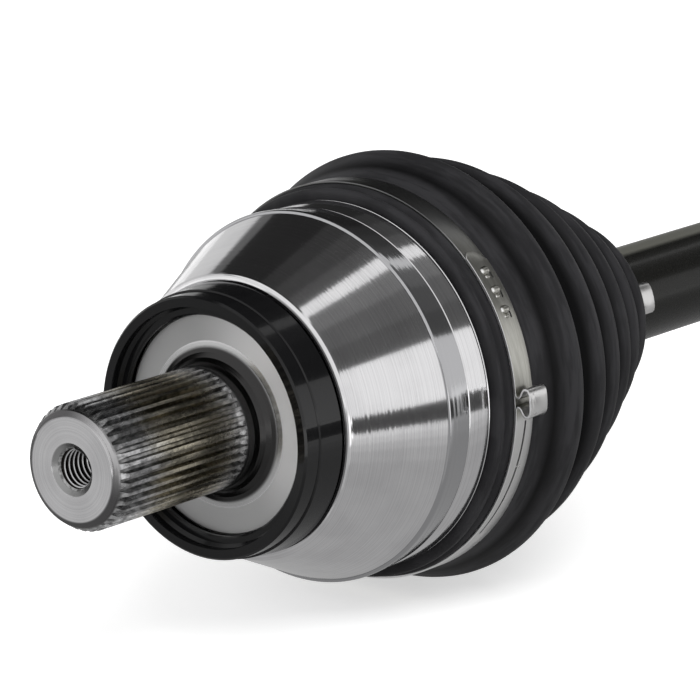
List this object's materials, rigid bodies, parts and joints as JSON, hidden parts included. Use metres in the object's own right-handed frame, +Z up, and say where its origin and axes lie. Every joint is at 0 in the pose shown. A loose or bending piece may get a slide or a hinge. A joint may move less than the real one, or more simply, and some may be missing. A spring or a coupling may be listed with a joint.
{
  "type": "drive shaft",
  "caption": "Half-axle drive shaft: splined hub stub, fixed ball joint, solid bar, plunging ball joint, rubber boots with ear clamps.",
  "frame": {"origin": "on the shaft axis in the plane of the hub shoulder, where the wheel hub seats on the bell", "axes": "+X along the shaft from the hub towards the gearbox, +Z up; both joints bend about Z"},
  "size_m": [0.6008, 0.1085, 0.1078],
  "materials": {
    "machined_steel": "turned, bright",
    "ring_black": "gloss black",
    "boot_rubber": "matt",
    "clamp_steel": "satin",
    "bar_black": "gloss black",
    "race_steel": "ground",
    "cage_steel": "ground, dark",
    "ball_steel": "polished",
    "spring_steel": "oiled",
    "shield_steel": "satin"
  },
  "bodies": {
    "bell": {"bell": "machined_steel", "pressed_ring": "ring_black", "out_boot": "boot_rubber", "out_large_clamp": "clamp_steel"},
    "shaft": {"bar": "bar_black", "out_inner_race": "race_steel", "out_circlip": "spring_steel", "out_small_clamp": "clamp_steel", "in_inner_race": "race_steel", "in_circlip": "spring_steel", "in_small_clamp": "clamp_steel"},
    "out_cage": {"out_cage": "cage_steel"},
    "out_ball_1": {"out_ball_1": "ball_steel"},
    "out_ball_2": {"out_ball_2": "ball_steel"},
    "out_ball_3": {"out_ball_3": "ball_steel"},
    "out_ball_4": {"out_ball_4": "ball_steel"},
    "out_ball_5": {"out_ball_5": "ball_steel"},
    "out_ball_6": {"out_ball_6": "ball_steel"},
    "in_carrier": {"in_axis_balls": "ball_steel"},
    "in_cage": {"in_cage": "cage_steel"},
    "in_ball_1": {"in_ball_1": "ball_steel"},
    "in_ball_2": {"in_ball_2": "ball_steel"},
    "in_ball_3": {"in_ball_3": "ball_steel"},
    "in_ball_4": {"in_ball_4": "ball_steel"},
    "housing": {"in_housing": "machined_steel", "in_stop_ring": "spring_steel", "in_boot": "boot_rubber", "in_large_clamp": "clamp_steel", "dust_shield": "shield_steel", "stub_snap_ring": "spring_steel"}
  },
  "joints": [
    {"name": "out_bend", "type": "hinge", "parent": "bell", "child": "shaft", "pos_m": [0.042, 0, 0], "axis": [0, 0, 1], "range_deg": [-45, 45], "deforming": ["out_boot"]},
    {"name": "out_cage_tilt", "type": "hinge", "parent": "bell", "child": "out_cage", "pos_m": [0.042, 0, 0], "axis": [0, 0, 1], "range_deg": [-23, 23]},
    {"name": "out_ball_1_roll", "type": "hinge", "parent": "bell", "child": "out_ball_1", "pos_m": [0.0465, 0, 0], "axis": [0, 0, 1], "range_deg": [-23, 23]},
    {"name": "out_ball_2_roll", "type": "hinge", "parent": "bell", "child": "out_ball_2", "pos_m": [0.0465, 0, 0], "axis": [0, -0.866, 0.5], "range_deg": [-23, 23]},
    {"name": "out_ball_3_roll", "type": "hinge", "parent": "bell", "child": "out_ball_3", "pos_m": [0.0465, 0, 0], "axis": [0, -0.866, -0.5], "range_deg": [-23, 23]},
    {"name": "out_ball_4_roll", "type": "hinge", "parent": "bell", "child": "out_ball_4", "pos_m": [0.0465, 0, 0], "axis": [0, 0, -1], "range_deg": [-23, 23]},
    {"name": "out_ball_5_roll", "type": "hinge", "parent": "bell", "child": "out_ball_5", "pos_m": [0.0465, 0, 0], "axis": [0, 0.866, -0.5], "range_deg": [-23, 23]},
    {"name": "out_ball_6_roll", "type": "hinge", "parent": "bell", "child": "out_ball_6", "pos_m": [0.0465, 0, 0], "axis": [0, 0.866, 0.5], "range_deg": [-23, 23]},
    {"name": "in_bend", "type": "hinge", "parent": "shaft", "child": "in_carrier", "pos_m": [0.422, 0, 0], "axis": [0, 0, 1], "range_deg": [-20, 20]},
    {"name": "in_cage_tilt", "type": "hinge", "parent": "in_carrier", "child": "in_cage", "pos_m": [0.427, 0, 0], "axis": [0, 0, 1], "range_deg": [-11, 11]},
    {"name": "in_ball_1_roll", "type": "slide", "parent": "in_carrier", "child": "in_ball_1", "axis": [1, 0, 0], "range_m": [-0.006, 0.006]},
    {"name": "in_ball_2_roll", "type": "slide", "parent": "in_carrier", "child": "in_ball_2", "axis": [1, 0, 0], "range_m": [-0.006, 0.006]},
    {"name": "in_ball_3_roll", "type": "slide", "parent": "in_carrier", "child": "in_ball_3", "axis": [1, 0, 0], "range_m": [-0.006, 0.006]},
    {"name": "in_ball_4_roll", "type": "slide", "parent": "in_carrier", "child": "in_ball_4", "axis": [1, 0, 0], "range_m": [-0.006, 0.006]},
    {"name": "in_plunge", "type": "slide", "parent": "in_carrier", "child": "housing", "axis": [1, 0, 0], "range_m": [-0.022, 0.022], "deforming": ["in_boot"]}
  ],
  "couplings": [
    {"joint": "out_cage_tilt", "follows": "out_bend", "ratio": 0.5},
    {"joint": "out_ball_1_roll", "follows": "out_bend", "ratio": 0.5},
    {"joint": "out_ball_2_roll", "follows": "out_bend", "ratio": 0.25},
    {"joint": "out_ball_3_roll", "follows": "out_bend", "ratio": -0.25},
    {"joint": "out_ball_4_roll", "follows": "out_bend", "ratio": -0.5},
    {"joint": "out_ball_5_roll", "follows": "out_bend", "ratio": -0.25},
    {"joint": "out_ball_6_roll", "follows": "out_bend", "ratio": 0.25},
    {"joint": "in_cage_tilt", "follows": "in_bend", "ratio": -0.5},
    {"joint": "in_ball_1_roll", "follows": "in_bend", "m_per_rad": 0.012774},
    {"joint": "in_ball_2_roll", "follows": "in_bend", "m_per_rad": -0.012774},
    {"joint": "in_ball_3_roll", "follows": "in_bend", "m_per_rad": -0.012774},
    {"joint": "in_ball_4_roll", "follows": "in_bend", "m_per_rad": 0.012774}
  ]
}
